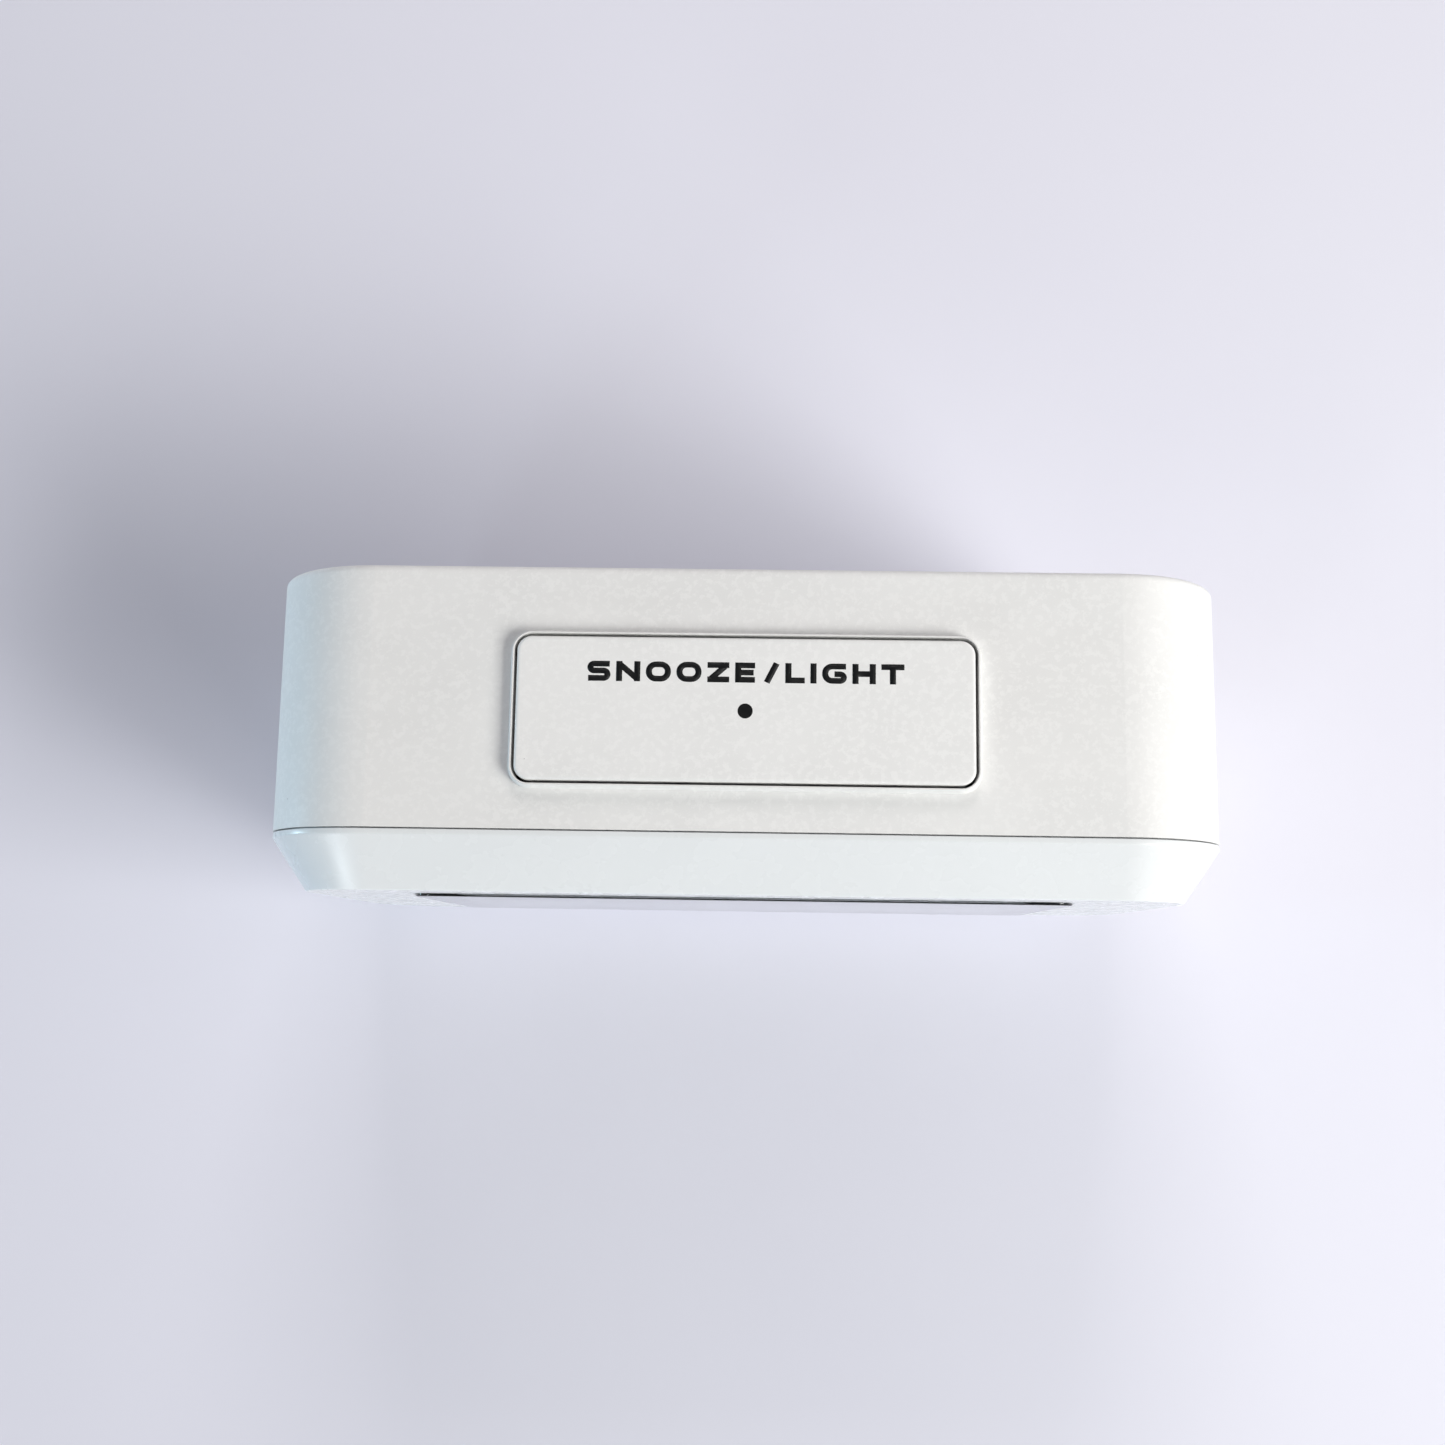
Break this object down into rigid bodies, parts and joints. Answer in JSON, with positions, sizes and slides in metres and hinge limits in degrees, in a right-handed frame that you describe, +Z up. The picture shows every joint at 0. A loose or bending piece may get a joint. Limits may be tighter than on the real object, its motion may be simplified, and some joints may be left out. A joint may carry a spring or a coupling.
{
  "type": "alarm clock",
  "caption": "Palm-wide digital desk alarm clock with a rounded white casing, chamfered bezel, snooze bar on top, rear keys and an AA battery door.",
  "frame": {"origin": "middle of the footprint, on the surface that the rubber feet rest on", "axes": "+X to the right seen from the front, along the width; +Y to the back; +Z up"},
  "size_m": [0.135, 0.045, 0.0767],
  "materials": {
    "white_casing": "fine matt moulded",
    "white_bezel": "satin moulded",
    "white_bar": "fine matt moulded",
    "clear_lens": "clear polished",
    "dark_film": "printed film behind the lens",
    "polariser": "grey film",
    "lcd_glass": "clear",
    "light_guide": "milky acrylic",
    "white_film": "matt",
    "lamp": "moulded",
    "white_frame": "moulded",
    "elastomer": "soft, striped",
    "green_board": "solder resist",
    "zinc_screw": "zinc plated",
    "black_epoxy": "epoxy drop",
    "metal_can": "satin",
    "capacitor_sleeve": "shrink sleeve",
    "chip": "fired",
    "foot_rubber": "matt",
    "dark_plastic": "moulded",
    "spring_steel": "drawn wire",
    "grey_key": "matt moulded",
    "foam": "soft foam",
    "buzzer_brass": "rolled",
    "ceramic": "silvered ceramic",
    "cell_wrap": "printed sleeve over a steel can",
    "plated_contact": "nickel plated",
    "red_lead": "insulated wire",
    "black_lead": "insulated wire",
    "ribbon": "flat ribbon"
  },
  "bodies": {
    "case": {"alarm_switch_housing": "dark_plastic", "backlight_lamps": "lamp", "board_capacitors": "capacitor_sleeve", "bridge_contact": "plated_contact", "buzzer_ceramic": "ceramic", "buzzer_gasket": "foam", "buzzer_leads": "black_lead", "buzzer_plate": "buzzer_brass", "case_screws": "zinc_screw", "chip_components": "chip", "clock_crystal": "metal_can", "controller_blob": "black_epoxy", "display_lens": "clear_lens", "display_surround": "dark_film", "front_bezel": "white_bezel", "front_polariser": "polariser", "key_board": "green_board", "key_board_screws": "zinc_screw", "key_ribbon": "ribbon", "key_switches": "dark_plastic", "lcd_front_glass": "lcd_glass", "lcd_holder": "white_frame", "lcd_rear_glass": "lcd_glass", "light_guide": "light_guide", "lower_cell": "cell_wrap", "lower_zebra_strip": "elastomer", "main_board": "green_board", "main_board_screws": "zinc_screw", "negative_contact": "plated_contact", "negative_lead": "black_lead", "positive_contact": "plated_contact", "positive_lead": "red_lead", "rear_case": "white_casing", "rear_polariser": "polariser", "reflector_sheet": "white_film", "rubber_feet": "foot_rubber", "snooze_board": "green_board", "snooze_board_screws": "zinc_screw", "snooze_ribbon": "ribbon", "snooze_springs": "spring_steel", "snooze_switch": "dark_plastic", "upper_cell": "cell_wrap", "upper_zebra_strip": "elastomer"},
    "snooze_bar": {"snooze_bar": "white_bar", "snooze_plunger": "dark_plastic"},
    "mode_key": {"mode_key": "grey_key", "mode_plunger": "dark_plastic"},
    "set_key": {"set_key": "grey_key", "set_plunger": "dark_plastic"},
    "up_key": {"up_key": "grey_key", "up_plunger": "dark_plastic"},
    "down_key": {"down_key": "grey_key", "down_plunger": "dark_plastic"},
    "alarm_switch": {"alarm_switch_knob": "grey_key"},
    "battery_door": {"battery_door": "white_casing"}
  },
  "joints": [
    {"name": "snooze_press", "type": "slide", "parent": "case", "child": "snooze_bar", "axis": [0, 0, -1], "range_m": [0, 0.001], "stiffness_N_per_m": 600, "springref_m": -0.001, "deforming": ["snooze_springs"]},
    {"name": "mode_press", "type": "slide", "parent": "case", "child": "mode_key", "axis": [0, -1, 0], "range_m": [0, 0.0005], "stiffness_N_per_m": 800},
    {"name": "set_press", "type": "slide", "parent": "case", "child": "set_key", "axis": [0, -1, 0], "range_m": [0, 0.0005], "stiffness_N_per_m": 800},
    {"name": "up_press", "type": "slide", "parent": "case", "child": "up_key", "axis": [0, -1, 0], "range_m": [0, 0.0005], "stiffness_N_per_m": 800},
    {"name": "down_press", "type": "slide", "parent": "case", "child": "down_key", "axis": [0, -1, 0], "range_m": [0, 0.0005], "stiffness_N_per_m": 800},
    {"name": "alarm_slide", "type": "slide", "parent": "case", "child": "alarm_switch", "axis": [1, 0, 0], "range_m": [0, 0.003]},
    {"name": "door_swing", "type": "hinge", "parent": "case", "child": "battery_door", "pos_m": [0, 0.0215, 0.0065], "axis": [-1, 0, 0], "range_deg": [0, 90]}
  ]
}
